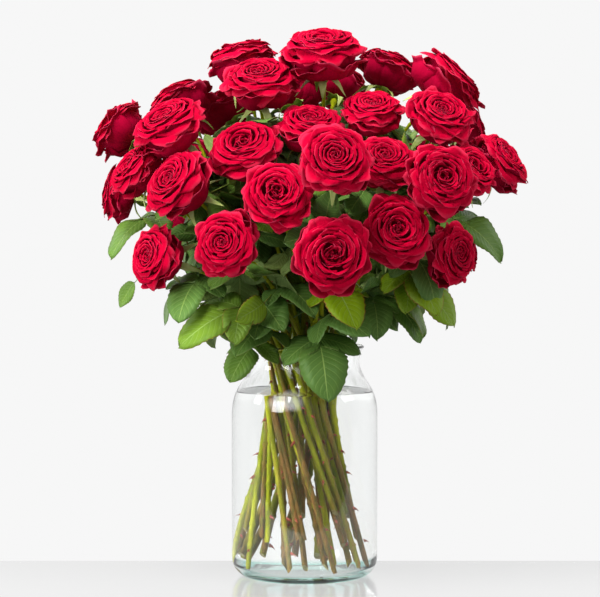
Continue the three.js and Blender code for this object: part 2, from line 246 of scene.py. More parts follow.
class Plant:
    def __init__(self, i):
        x, y, z, yaw, tilt, width, self.bunch = ROSES[i]
        self.seed = i
        self.width = width * MM
        self.axis = direction(yaw, tilt)
        self.base = Vector((x, y, z)) * MM - self.axis * HEAD_MIDDLE * self.width
        waist = waist_of(i)
        self.waist = Vector((waist.real, waist.imag, WAIST_HEIGHT)) * MM
        foot = Vector((feet[i].real, feet[i].imag, FOOT_HEIGHT)) * MM
        self.foot = foot.lerp(self.waist, SHORTEST_CUT * chance(i + 101) ** 3)
        self.hip = self.base - self.axis * HIP_LENGTH * MM
        self.rise = (self.waist - self.foot).normalized()
        span = (self.hip - self.waist).length
        low = self.waist + self.rise * BEND_LOW * span
        high = self.hip - self.axis * BEND_HIGH * span
        self.route = (self.waist, low, high, self.hip)

    def on_route(self, t):
        a, b, c, d = self.route
        s = 1 - t
        return a * s**3 + b * 3 * s * s * t + c * 3 * s * t * t + d * t**3

    def along(self, step):
        """The point of the stem after so many steps from its foot."""
        if step < LOW_STEPS:
            return self.foot.lerp(self.waist, step / LOW_STEPS)
        return self.on_route((step - LOW_STEPS) / HIGH_STEPS)

    def at_height(self, height):
        """The point of the stem above the waist that is at a height in metres."""
        low, high = 0.0, 1.0
        for _ in range(HALVINGS):
            middle = (low + high) / 2
            if self.on_route(middle).z < height:
                low = middle
            else:
                high = middle
        return self.on_route(low)


plants = [Plant(i) for i in range(len(ROSES))]
print("plants:", len(plants), "in bunches:", BUNCHES)

# %% [markdown]
# ## Small tools for finishes
#
# A finish is a net of shader nodes. Written out node by node it is long, so one class wraps a socket: adding
# or multiplying two wrapped sockets adds the Math node that does it. Any other node comes from one method.

# %% A wrapped socket
class Value:
    """The output of a shader node. Python's operators on it add Math nodes."""

    def __init__(self, net, socket):
        self.net = net
        self.socket = socket

    def math(self, operation, *values):
        return self.net.node("Math", {"operation": operation}, dict(enumerate(values)))

    def __add__(self, other):
        return self.math("ADD", self, other)

    def __sub__(self, other):
        return self.math("SUBTRACT", self, other)

    def __rsub__(self, other):
        return self.math("SUBTRACT", other, self)

    def __mul__(self, other):
        return self.math("MULTIPLY", self, other)

    def absolute(self):
        return self.math("ABSOLUTE", self)

    def fraction(self):
        return self.math("FRACT", self)

    def between(self, low, high):
        """0 below low, 1 above high, and a smooth step from one to the other."""
        settings = {"interpolation_type": "SMOOTHSTEP"}
        return self.net.node("MapRange", settings, {"Value": self, "From Min": low, "From Max": high})


# %% A net of nodes, and a finish
class Net:
    """The shader nodes of a finish or of the world."""

    def __init__(self, tree):
        self.tree = tree

    def feed(self, socket, value):
        if isinstance(value, Value):
            self.tree.links.new(value.socket, socket)
        else:
            socket.default_value = value

    def node(self, kind, settings=None, inputs=None, output=0):
        """Adds a node: its settings are set first, and then its sockets are given values or links."""
        node = self.tree.nodes.new("ShaderNode" + kind)
        for name, value in (settings or {}).items():
            setattr(node, name, value)
        for name, value in (inputs or {}).items():
            self.feed(node.inputs[name], value)
        return Value(self, node.outputs[output])

    def part(self, vector, axis):
        """One number of a vector: 0, 1 and 2 stand for x, y and z."""
        return self.node("SeparateXYZ", inputs={"Vector": vector}, output=axis)

    def blend(self, factor, a, b):
        """Blends from number a to number b."""
        return self.node("Mix", inputs={0: factor, 2: a, 3: b})

    def mix(self, factor, a, b):
        """Blends from colour a to colour b."""
        colours = [(*c, 1) if isinstance(c, tuple) else c for c in (a, b)]
        inputs = {0: factor, 6: colours[0], 7: colours[1]}
        return self.node("Mix", {"data_type": "RGBA"}, inputs, output=2)


class Finish(Net):
    """A material with one Principled shader."""

    def __init__(self, name, **constants):
        self.material = bpy.data.materials.new(name)
        self.material.use_nodes = True
        super().__init__(self.material.node_tree)
        self.shader = self.tree.nodes["Principled BSDF"]
        for socket, value in constants.items():
            self.set(socket.replace("_", " "), value)

    def set(self, name, value):
        """Sets a socket of the Principled shader to a number, a colour or a wrapped socket."""
        self.feed(self.shader.inputs[name], (*value, 1) if isinstance(value, tuple) else value)

    def attribute(self, name):
        return self.node("Attribute", {"attribute_name": name}, output=2)

    def place(self, axis):
        """Where a point lies along one axis of the object, in metres."""
        return self.part(self.node("TexCoord", output="Object"), axis)

    def noise(self, scale, stretch=(1, 1, 1), vector=None):
        """Noise in the object's own space, or in the space of another vector."""
        vector = vector or self.node("TexCoord", output="Object")
        stretched = self.node("Mapping", inputs={"Vector": vector, "Scale": stretch})
        return self.node("TexNoise", inputs={"Vector": stretched, "Scale": scale})

    def bump(self, height, strength, distance):
        inputs = {"Height": height, "Strength": strength, "Distance": distance}
        self.set("Normal", self.node("Bump", inputs=inputs))


# %% [markdown]
# ## Small tools for meshes
#
# Petals, leaflets and sepals are thin sheets. Each kind starts as a flat grid from Blender's own operator.
# The grid is read into arrays once, bent by a formula for each petal or leaf, and the bent copies are
# gathered into one mesh. A Solidify modifier gives that mesh its thickness and paints its second face with
# the next material, because the two faces of a petal or leaf differ.

# %% Selecting and joining
def choose(*objects):
    """Selects nothing but these objects, with the first of them as the active one."""
    bpy.ops.object.select_all(action="DESELECT")
    for obj in objects:
        obj.select_set(True)
        bpy.context.view_layer.objects.active = objects[0]


def edit(obj):
    """Opens a mesh for editing, with all of it selected."""
    choose(obj)
    bpy.ops.object.mode_set(mode="EDIT")
    bpy.ops.mesh.select_all(action="SELECT")


def join(name, objects):
    choose(*objects)
    bpy.ops.object.join()
    piece = bpy.context.active_object
    piece.name = piece.data.name = name
    return piece


# %% A flat sheet, and a gathering of bent copies
class Sheet:
    """A flat grid: u runs across it from -1 to 1, and v along it from 0 to 1."""

    def __init__(self, across, along):
        choose()
        bpy.ops.mesh.primitive_grid_add(x_subdivisions=across, y_subdivisions=along, size=2)
        grid = bpy.context.active_object
        corners = np.array([v.co for v in grid.data.vertices])
        self.u = corners[:, 0]
        self.v = (corners[:, 1] + 1) / 2
        self.faces = np.array([p.vertices for p in grid.data.polygons])
        bpy.ops.object.delete()


class Gathering:
    """Bent copies of sheets, on their way to become one mesh: points, faces, map, tones and kinds."""

    def __init__(self):
        self.copies = []
        self.count = 0

    def add(self, sheet, points, tone, kind=0):
        uv = np.stack([sheet.u, sheet.v], axis=1)
        tones = np.full(len(points), tone, np.float32)
        kinds = np.full(len(sheet.faces), 2 * kind, np.int32)
        self.copies.append((points, sheet.faces + self.count, uv, tones, kinds))
        self.count += len(points)

    def build(self, name, materials, thickness):
        """Makes the mesh, with its thickness. Each kind has two materials: its back's and its face's."""
        points, faces, uv, tones, kinds = map(np.concatenate, zip(*self.copies))
        mesh = bpy.data.meshes.new(name)
        mesh.from_pydata(points.tolist(), [], faces.tolist())
        layer = mesh.uv_layers.new(name="across_along")
        layer.data.foreach_set("uv", uv[faces.ravel()].astype(np.float32).ravel())
        mesh.attributes.new("tone", "FLOAT", "POINT").data.foreach_set("value", tones)
        for material in materials:
            mesh.materials.append(material)
        mesh.polygons.foreach_set("material_index", kinds)
        mesh.polygons.foreach_set("use_smooth", np.ones(len(faces), bool))
        obj = new_object(name, mesh)
        choose(obj)
        wall = obj.modifiers.new("thickness", "SOLIDIFY")
        wall.thickness = thickness
        wall.offset = -1
        wall.material_offset = 1
        wall.material_offset_rim = 0
        bpy.ops.object.modifier_apply(modifier=wall.name)
        return obj


def stand(points, origin, axis, spin):
    """Turns points made round +Z to stand on an origin along an axis."""
    turn = Vector((0, 0, 1)).rotation_difference(axis).to_matrix() @ Matrix.Rotation(spin, 3, "Z")
    return points @ np.array(turn).T + np.array(origin)


# %% [markdown]
# ## The petals' finish
#
# A crimson petal is matt and velvety: tiny cells catch the light that skims over it, so its edges look
# paler and pinker than its hollows. Sheen does that. Light also soaks through thin petals, and a very faint
# painted glow stands in for it. Light and shade are painted into the colour: the petal is darker towards
# its foot, deep in the bloom, has a painted highlight along its rolled lip and painted shade in its folds.
# Fine veins fan out along it. Its outer face is a little pinker and duller.

# %% Petal finishes
PETAL_GLOW = (0.018, 0.0, 0.0008)
LIT_LENGTH = 0.45


def petal_finish(name, deep_and_shaded, bright, lip, lit_from):
    finish = Finish(
        name, Roughness=0.75, Specular_IOR_Level=0.03, Sheen_Weight=0.06, Sheen_Roughness=0.4,
        Sheen_Tint=(1.0, 0.05, 0.18), Emission_Color=PETAL_GLOW, Emission_Strength=1.0,
    )
    uv = finish.node("UVMap")
    along = finish.part(uv, 1)
    tone = finish.attribute("tone")
    veins = finish.noise(3.0, (16, 1.4, 1), uv)
    creases = finish.noise(2.2, (3, 0.7, 1), uv)
    blotch = finish.noise(90.0)
    # Painted shade: the petal is darker towards its foot, deep in the bloom, and fully lit from lit_from on
    body = finish.mix(along.between(lit_from, lit_from + LIT_LENGTH), deep_and_shaded, bright)
    # Painted shade in the folds and, through the tone, towards the heart, among the petal's own random tone
    shade = tone * 0.5 + blotch * 0.4 + veins * 0.25 + creases * 0.5 - 0.45
    body = finish.mix(shade.between(0.15, 1.0) * 0.75, body, deep_and_shaded)
    # A painted highlight: the rolled lip is paler and pinker where the light skims over it
    finish.set("Base Color", finish.mix(along.between(0.9, 1.0) * 0.7, body, lip))
    finish.bump(veins * 0.2 + creases, 0.5, 1.6 * MM)
    return finish.material


# Each: its deep and shaded colour, its lit colour, the lip's painted highlight, where the painted shade ends
PETAL_BACK = petal_finish(
    "petal_back", (0.12, 0.0003, 0.008), (0.38, 0.002, 0.03), lip=(0.56, 0.05, 0.11), lit_from=-0.1
)
PETAL_FACE = petal_finish(
    "petal_face", (0.09, 0.0002, 0.004), (0.47, 0.001, 0.025), lip=(0.68, 0.03, 0.08), lit_from=0.3
)

# %% [markdown]
# ## The blooms
#
# A rose petal is a cup with a lip. Seen from the side it rises from the hip, bellies outwards and turns
# upright; then its lip rolls over and outwards to a blunt point. The formula below draws that side view as
# a Bezier curve, an arc and a straight lip, and turns it round the bloom's axis by the petal's own width.
# The petals follow each other by the golden angle, each a little further in, so no two lie exactly over one
# another.

# %% One petal
PETAL = Sheet(12, 9)
BODY_END = 0.4
ROLL_END = 0.82
GOLDEN_ANGLE = radians(137.508)
HEAD_RISE = 1.2
PETAL_OUTLINE = ([0, 0.12, BODY_END, ROLL_END, 1], [0.3, 0.62, 1.0, 1.0, 0.72])
PETAL.v = np.interp(PETAL.v, [0, 0.23, 1], [0, BODY_END, 1])


def ramp(v, low, high):
    """0 up to low, 1 from high, and a straight rise between them."""
    return np.clip((v - low) / (high - low), 0, 1)


def dome(r):
    """How high a petal's upright part reaches at radius r: a dome with a dip at the heart."""
    rise = 0.56 * np.clip(1 - (r / 0.95) ** 2, 0, 1) ** 0.6
    dip = 0.13 * np.exp(-((r / 0.26) ** 2))
    return HEAD_RISE * (0.3 + rise - dip)


def petal(u, v, reach, drop, roll, bend, lip, half, place, wave, skew, shift=0j, ruffle=1.0):
    """Points of a petal in a bloom of radius 1, at the angle place round it.

    reach is how far its tip stands out, drop lowers it below the dome, roll and bend are the angle and
    radius of its lip's roll, lip is the length of the point after it, half is half its width as an angle,
    wave and ruffle are the phase and size of its edge's waves, skew winds it inwards, shift moves it."""
    side = np.abs(u)
    wall = reach - bend * (1 - cos(min(roll, 2.4))) - lip * sin(min(roll, 1.6))
    wall = np.maximum(wall * (1 + skew * u) * (1 - 0.13 * reach * u * u), 0.03)
    height = dome(wall) - drop
    t = ramp(v, 0, BODY_END)
    s = 1 - t
    belly = wall + 0.1 * (1 - wall)
    r = 0.09 * s**3 + 3 * belly * 0.9 * s * s * t + 3 * belly * s * t * t + wall * t**3
    z = 3 * 0.04 * s * s * t + 3 * 0.5 * height * s * t * t + height * t**3
    angle = ramp(v, BODY_END, ROLL_END) * (roll + 0.8 * side**2.5)
    r = r + bend * (1 - np.cos(angle))
    z = z + bend * np.sin(angle)
    point = 1 - 0.93 * np.sqrt(u * u + 0.005)
    tip = ramp(v, ROLL_END, 1) * lip * point**1.1 * 1.25
    r = r + tip * np.sin(angle)
    z = z + tip * np.cos(angle)
    rim = ramp(v, 0.2, 1) ** (1.5 / ruffle) * (0.4 + 0.6 * reach) * ruffle
    r = r + rim * (0.022 * np.sin(4.2 * u + wave) + 0.014 * np.sin(9.5 * u + 3 * wave))
    z = z + rim * (0.04 * np.sin(3.1 * u + 2 * wave) + 0.022 * np.sin(8.3 * u + 5 * wave))
    spread = np.interp(v, *PETAL_OUTLINE)
    theta = place + half * spread * u
    return np.stack([r * np.cos(theta) + shift.real * t, r * np.sin(theta) + shift.imag * t, z], axis=1)


# %% [markdown]
# The widest petals of the crown bend right back, each to a point, so a rose has the outline of a star.
# Inside them the others wind tighter and tighter. The heart of a full rose comes in two sorts: in a classic
# one the petals go on winding round the middle, and in a quartered one they fold round three middles of
# their own.

# %% One bloom
FULLNESS = 1.055
SEAT_GAP = 0.35
PETAL_THICKNESS = 0.35
GUARDS = 11
STAR = 8
LAYERS = 42
QUARTERED = {11, 18, 20, 24, 27, 28, 33, 36}
QUARTERS = 4
HEART = 0.5


def crown(seed, quartered):
    """The petals from the widest layer to the heart. t runs from 0 to 1 past the petals of the star."""
    for n in range(LAYERS):
        t = max(0, n - STAR) / (LAYERS - 1 - STAR)
        c = chances(7, seed * 53 + n * 7, 0.5)
        row = dict(
            reach=(0.82 * (1 - t) ** 1.15 + 0.045) * (0.98 + 0.04 * c[0]),
            drop=0.07 * (c[1] - 0.5) * (1 - t),
            roll=radians(118 - 70 * t + 36 * (c[2] - 0.5)),
            bend=0.038 * (1 - t) + 0.011,
            lip=(0.085 * (1 - t) ** 1.5 + 0.01) * (0.5 + c[3]),
            half=radians(48 + 48 * t**1.3 + 12 * c[4]),
            place=n * GOLDEN_ANGLE + 0.3 * (c[5] - 0.5),
            wave=6.3 * c[3],
            skew=0.05 + 0.12 * t,
            # Random tone, and painted shade that deepens towards the heart, which lies in a hollow
            tone=0.7 * c[6] + 0.6 * t * t,
        )
        if n < STAR:
            row.update(
                reach=0.9 + 0.1 * c[0],
                drop=0.04 + 0.13 * c[1],
                roll=radians(106 + 34 * c[2]),
                lip=0.16 + 0.11 * c[3],
                half=radians(44 + 12 * c[4]),
            )
        if quartered and t > HEART:
            inner = (t - HEART) / (1 - HEART)
            fold = n % QUARTERS
            row.update(
                reach=0.37 * (1 - inner) + 0.04,
                drop=0.1 * c[1],
                half=radians(80 + 50 * c[4]),
                skew=0.1 + 0.3 * c[5],
                wave=6.3 * c[2],
                shift=plan(2 * pi * fold / (QUARTERS - 1) + seed, (0.05 + 0.08 * c[0]) * (fold > 0)),
                ruffle=1.6,
            )
        yield row


def guards(seed):
    """The lowest petals. Some hug the cup and some bend right back."""
    for n in range(GUARDS):
        c = chances(5, seed * 71 + n * 5, 0.25)
        low, hug = n % 2, n % 3 == 0
        yield dict(
            reach=0.9 + 0.08 * c[0] + 0.02 * hug,
            drop=HEAD_RISE * (0.08 + 0.14 * c[1] + 0.08 * low + 0.1 * hug),
            roll=radians((70 + 60 * c[2] + 40 * low) * (1 - 0.45 * hug)),
            bend=0.05 + 0.05 * c[3],
            lip=0.1 + 0.15 * c[4],
            half=radians(40 + 16 * c[0]),
            place=n * GOLDEN_ANGLE + 0.4 * (c[3] - 0.5),
            wave=6.3 * c[2],
            skew=0.04 + 0.12 * (c[4] - 0.5),
            tone=0.5 + 0.8 * c[1],
            ruffle=2.0,
        )


def bloom(plant):
    seed = plant.seed + 1
    petals = Gathering()
    spin = 2 * pi * chance(seed + 201)
    seat = plant.base + plant.axis * SEAT_GAP * MM
    radius = plant.width / 2 * FULLNESS
    oval = np.array([1.04 - 0.08 * chance(seed + 11), 0.96 + 0.08 * chance(seed + 11), 1]) * radius
    for row in [*guards(seed), *crown(seed, plant.seed in QUARTERED)]:
        tone = row.pop("tone") + 0.5 * (chance(seed + 77) - 0.5)
        petals.add(PETAL, stand(petal(PETAL.u, PETAL.v, **row) * oval, seat, plant.axis, spin), tone)
    name = f"bloom_{seed:02d}"
    piece = petals.build(name + "_petals", [PETAL_BACK, PETAL_FACE], PETAL_THICKNESS * MM)
    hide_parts(name)
    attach(piece, "root")
    return piece


blooms = [bloom(plant) for plant in plants]
print("blooms:", len(blooms), "triangles in the first:", 2 * len(blooms[0].data.polygons))

# %% [markdown]
# ## The leaves' finishes
#
# A rose leaflet is dark, waxy and slightly quilted above, with a pale midrib and side veins, and grey-green
# and dull below. Young leaves are yellow-green, with a red edge. The veins are drawn from the leaflet's own
# map, so they follow every bend.

# %% Leaf finishes
SIDE_VEINS = 9
VEIN_SLANT = 2.6
RED_EDGE = (0.25, 0.05, 0.02)


def leaf_finish(name, dark, young, vein, roughness, vein_width):
    finish = Finish(name, Roughness=roughness, Specular_IOR_Level=0.28)
    uv = finish.node("UVMap")
    across = finish.part(uv, 0).absolute()
    along = finish.part(uv, 1)
    tone = finish.attribute("tone")
    blotch = finish.noise(60.0)
    body = finish.mix((tone + blotch * 0.3 - 0.15).between(0.0, 1.0), dark, young)
    rib = 1 - across.between(vein_width * 0.5, vein_width)
    phase = (along * SIDE_VEINS - across * VEIN_SLANT + 20).fraction()
    side = (1 - (phase - 0.5).absolute().between(0.02, 0.09)) * (1 - across.between(0.6, 0.95))
    mask = rib + side * 0.45 * (1 - rib)
    body = finish.mix(mask * 0.8, body, vein)
    finish.set("Base Color", finish.mix(across.between(0.93, 1.0) * tone, body, RED_EDGE))
    net = finish.noise(420.0)
    finish.bump(net * 0.5 - mask + (phase - 0.5).absolute() * 1.3, 0.5, 0.7 * MM)
    return finish.material


LEAF_BACK = leaf_finish("leaf_back", (0.2, 0.3, 0.09), (0.3, 0.4, 0.07), (0.38, 0.47, 0.17), 0.6, 0.06)
LEAF_FACE = leaf_finish("leaf_face", (0.09, 0.185, 0.037), (0.2, 0.32, 0.004), (0.25, 0.38, 0.09), 0.38, 0.04)


def plain_finish(name, a, b, roughness, grain):
    """Two colours mingled by noise. grain is its scale, the values between which it mingles, and its bump."""
    scale, low, high, bump = grain
    finish = Finish(name, Roughness=roughness)
    noise = finish.noise(scale)
    finish.set("Base Color", finish.mix(noise.between(low, high), a, b))
    if bump:
        finish.bump(noise, bump, 0.3 * MM)
    return finish.material


SOFT_GRAIN = (140.0, 0.3, 0.8, 0)
SEPAL_BACK = plain_finish("sepal_back", (0.2, 0.31, 0.03), (0.32, 0.42, 0.07), 0.55, SOFT_GRAIN)
SEPAL_FACE = plain_finish("sepal_face", (0.44, 0.54, 0.15), (0.54, 0.62, 0.25), 0.55, SOFT_GRAIN)

# %% [markdown]
# ## The leaves
#
# A rose leaf is a stalk with three or five leaflets. The leaflet's flat shape has small teeth on each side.
# It is folded a little along its midrib, it sags towards its tip, and its edges wave. The whole leaf arches
# from its stem to its tip, whose place is given, so a leaf can be put exactly where it is wanted.

# %% The rows of leaves, in millimetres
# rose on whose stem it grows, height on the stem, its tip x, y, z, length of the end leaflet, young share
LEAVES = [
    (21, 468, (252, -60, 415), 64, 0.15),
    (22, 316, (-84, -112, 300), 62, 0.15),
    (22, 418, (-148, -70, 452), 50, 0.2),
    (23, 408, (-190, 40, 330), 66, 0.1),
    (23, 468, (-252, -25, 422), 66, 0.25),
    (26, 392, (-158, -120, 338), 60, 0.05),
    (25, 350, (-155, -122, 312), 68, 0.45),
    (27, 368, (-60, -130, 400), 56, 0.1),
    (28, 320, (29, -120, 244), 74, 0.12),
    (28, 328, (76, -125, 325), 62, 0.0),
    (30, 368, (150, -55, 312), 52, 0.2),
    (30, 388, (190, -80, 335), 62, 0.7),
    (30, 398, (165, -115, 350), 60, 0.75),
    (35, 378, (-130, 110, 300), 66, 0.1),
    (36, 418, (-60, 150, 330), 68, 0.2),
    (38, 378, (80, 150, 320), 66, 0.1),
    (39, 318, (10, 130, 268), 68, 0.3),
    (39, 438, (215, 78, 387), 60, 0.1),
    (40, 388, (150, 110, 330), 64, 0.1),
    (40, 408, (195, 40, 325), 66, 0.2),
    (7, 308, (-94, -92, 262), 52, 0.3),
]

# More leaves, on whichever stem is handy: tip x, y, z, leaflets, length, young share, roll in degrees
MORE_LEAVES = [
    ((-241, 0, 351), 1, 34, 0.3, 20),
    ((-117, -110, 384), 3, 52, 0.25, -20),
    ((-82, -130, 339), 1, 42, 0.7, 60),
    ((-62, -118, 322), 3, 56, 0.0, 10),
    ((-3, -105, 404), 3, 52, 0.3, 170),
    ((-30, -112, 330), 3, 58, 0.0, -10),
    ((12, -118, 352), 3, 56, 0.05, 15),
    ((62, -140, 338), 3, 60, 0.85, 0),
    ((166, -110, 363), 3, 54, 0.0, 0),
    ((155, -70, 322), 1, 48, 0.4, 30),
    ((92, -105, 318), 3, 50, 0.1, 0),
    ((222, -50, 486), 3, 44, 0.1, 0),
    ((206, -62, 440), 3, 46, 0.1, 15),
    ((130, -20, 566), 3, 50, 0.8, 0),
    ((-48, -88, 590), 3, 46, 0.1, 0),
    ((-190, -50, 470), 3, 46, 0.2, 0),
    ((-105, -62, 492), 3, 52, 0.3, 165),
    ((-78, -72, 512), 1, 34, 0.9, 100),
    ((-20, -60, 520), 3, 48, 0.2, 150),
    ((120, -60, 500), 3, 50, 0.1, 160),
    ((60, -90, 478), 3, 50, 0.1, 20),
]

# %% Where leaves may grow: a station every few millimetres up each stem, from the rim to below the bloom
STATION_STEP = 8 * MM
LOWEST_STATION = 0.304
CLEAR_OF_BLOOM = 0.04
STATIONS = []
for plant in plants:
    for k in range(int((plant.hip.z - CLEAR_OF_BLOOM - LOWEST_STATION) / STATION_STEP)):
        STATIONS.append((plant, np.array(plant.at_height(LOWEST_STATION + k * STATION_STEP))))
STATION_POINTS = np.array([point for _, point in STATIONS])
BLOOM_MIDDLES = np.array([plant.base + plant.axis * 0.5 * HEAD_RISE * plant.width / 2 for plant in plants])
BLOOM_RADII = np.array([plant.width / 2 for plant in plants])
FRONT_BLOOMS = 30
INSIDE_SHARE = 0.98
HIDDEN_SHARE = 0.92
print("stations for leaves:", len(STATIONS))


def station_near(tip, reach):
    """The station from which a leaf of this reach ends nearest to this tip."""
    apart = np.linalg.norm(STATION_POINTS - tip, axis=1)
    below = np.maximum(0, tip[2] - STATION_POINTS[:, 2])
    return int(np.argmin(np.abs(apart - reach) + 0.3 * below))


def in_a_bloom(point):
    return (np.linalg.norm(BLOOM_MIDDLES - point, axis=1) < BLOOM_RADII * INSIDE_SHARE).any()


def hides_a_bloom(point):
    """Whether a point lies in front of one of the front blooms for the viewer."""
    eye = np.array(CAMERA_PLACE)
    far = BLOOM_MIDDLES[:FRONT_BLOOMS] - eye
    near = point - eye
    apart = near * (far[:, 1:2] / near[1]) - far
    hidden = np.hypot(apart[:, 0], apart[:, 2]) < BLOOM_RADII[:FRONT_BLOOMS] * HIDDEN_SHARE
    return (hidden & (far[:, 1] > near[1])).any()


# %% The filling leaves, from a seeded rule, in metres
# Of the tips near the front most are skipped, and all of those in the open middle below the front blooms
FRONT_Y = -50 * MM
FRONT_HEIGHT = 390 * MM
FRONT_SKIPPED = (0.6, 0.8)
OPEN_HALF = 70 * MM
OPEN_Y = -20 * MM
OPEN_HEIGHT = 430 * MM
FILL_TRIES = 690
FILL_REACH = (62 * MM, 100 * MM)
FILL_HEIGHT = (312 * MM, 590 * MM)
FILL_WIDTH = ([0.31, 0.36, 0.45, 0.59], [0.11, 0.17, 0.2, 0.15])
FILL_SLACK = 0.2


def filling_leaves():
    """Leaves whose tips are spread evenly through the bouquet, where they neither cut nor hide a bloom."""
    rows = []
    for n in range(FILL_TRIES):
        c = chances(8, n * 11, 0.7)
        height = FILL_HEIGHT[0] + (FILL_HEIGHT[1] - FILL_HEIGHT[0]) * c[0]
        widest = np.interp(height, *FILL_WIDTH)
        out = plan(2 * pi * c[1], widest * sqrt(c[2]))
        tip = np.array([out.real, out.imag, height])
        reach = FILL_REACH[0] + (FILL_REACH[1] - FILL_REACH[0]) * c[3]
        plant, root = STATIONS[station_near(tip, reach)]
        way = tip - root
        if abs(np.linalg.norm(way) - reach) > FILL_SLACK * reach:
            continue
        length = (0.46 + 0.18 * c[4]) * reach
        middle = tip - way * 0.5 * length / reach
        if any(in_a_bloom(mark) or hides_a_bloom(mark) for mark in (tip, middle)):
            continue
        if abs(tip[0]) < OPEN_HALF and tip[1] < OPEN_Y and tip[2] < OPEN_HEIGHT:
            continue
        if tip[1] < FRONT_Y and c[6] < FRONT_SKIPPED[height >= FRONT_HEIGHT]:
            continue
        roll = 100 * (c[6] - 0.5) + (150 if c[7] < 0.2 else 0)
        rows.append((plant, root, tip, 3 if c[5] < 0.8 else 5, length, 0.5 * c[5] ** 3, roll))
    return rows


# %% One leaflet and one leaf
TEETH = 10
LEAFLET = Sheet(4, 2 * TEETH)
STALK = Sheet(4, 5)
STALK_RADIUS = 0.9 * MM
TOOTH = 0.028
BOW = 0.16
END_WIDTH = 0.42
SIDE_WIDTH = 0.38
PAIR_GAP = 14 * MM
PAIR_SIZES = (0.76, 0.64)
FACING = Vector((0, -90, 160)) * MM
OUTLINE = (
    [0, 0.03, 0.1, 0.22, 0.36, 0.5, 0.64, 0.78, 0.89, 0.96, 1],
    [0.04, 0.28, 0.64, 0.9, 1.0, 0.99, 0.9, 0.73, 0.5, 0.27, 0.0],
)


def leaf(greens, root, tip, leaflets, length, young, roll, number):
    chord = tip - root
    reach = np.linalg.norm(chord)
    along = chord / reach
    up = np.array([0.4 * root[0], root[1] + FACING.y, FACING.z])
    up = up - along * up.dot(along)
    up = up / np.linalg.norm(up)
    side = np.cross(up, along)
    c, s = cos(radians(roll)), sin(radians(roll))
    up, side = up * c + side * s, side * c - up * s
    bow = BOW * reach

    def place(x, y, offset):
        share = x / reach
        rise = 4 * bow * share * (1 - share) - 0.3 * y * y / length + offset
        return root + np.outer(x, along) + np.outer(y, side) + np.outer(rise, up)

    def leaflet(start, turn, size, width, seed):
        u, v = LEAFLET.u, LEAFLET.v
        edge = np.abs(u)
        tooth = 1 + TOOTH * np.where(np.round(v * 2 * TEETH).astype(int) % 2, 1, -1)
        half = size * width * np.interp(v, *OUTLINE) * np.where(edge > 0.99, tooth, 1)
        s = size * v + 0.02 * size * edge**3
        w = half * u
        c = chances(4, seed)
        fold = (0.1 + 0.22 * c[0]) * np.abs(w)
        sag = -(0.06 + 0.16 * c[1]) * size * v**2
        wave = 0.035 * size * edge**2 * np.sin(9 * v + 6.3 * c[2] + 2 * np.sign(u))
        quilt = 0.006 * size * np.sin(SIDE_VEINS * 2 * pi * (v - 0.29 * edge)) * (1 - edge)
        x = start + s * cos(turn) - w * sin(turn)
        y = s * sin(turn) + w * cos(turn)
        points = place(x, y, fold + sag + wave + quilt)
        greens.add(LEAFLET, points, min(1, max(0, young + 0.12 * (c[3] - 0.5))))

    seed = number * 29 + 3
    leaflet(reach - length, 0.0, length, END_WIDTH, seed)
    pair = reach - length - PAIR_GAP
    starts = (pair, pair - 0.55 * length)
    for k in range(leaflets // 2):
        for way in (-1, 1):
            turn = way * radians(54 + 16 * chance(seed + k + 9 * way))
            leaflet(starts[k], turn, PAIR_SIZES[k] * length, SIDE_WIDTH, seed + 5 + k + 2 * way)
    x = STALK.v * (reach - length)
    around = -pi * STALK.u
    thick = STALK_RADIUS * (1.5 - 0.7 * STALK.v)
    greens.add(STALK, place(x, -thick * np.sin(around), -thick * np.cos(around)), young)


# %% Every leaf: its plant, root, tip, leaflets, length, share of youth and roll
MORE_REACH = 1.75
ALL_LEAVES = filling_leaves()
for rose, height, tip, length, young in LEAVES:
    plant = plants[rose - 1]
    root = np.array(plant.at_height(height * MM))
    ALL_LEAVES.append((plant, root, np.array(tip) * MM, 3, length * MM, young, 0))
for tip, leaflets, length, young, roll in MORE_LEAVES:
    tip = np.array(tip) * MM
    plant, root = STATIONS[station_near(tip, MORE_REACH * length * MM)]
    ALL_LEAVES.append((plant, root, tip, leaflets, length * MM, young, roll))
print("leaves:", len(ALL_LEAVES))

# %% [markdown]
# ## The hips and sepals
#
# Under each bloom sits a small green hip with five sepals. They once wrapped the bud. Now they are bent
# back, pale on their inner face, and their tips curl. Each is a narrow sheet that leans over step by step
# along its length. The hip comes with the stem, whose tube swells into it.

# %% Sepals of one bloom
SEPAL = Sheet(4, 9)
SEPALS = 5
SEPAL_STEPS = 24
SEPAL_LENGTH = (32, 12)
SEPAL_HALF = 6.0
# Each pair of side barbs: its place and width along the sepal, and how far it stands out
BARBS = [(0.42, 0.05, 0.35), (0.6, 0.04, 0.3)]


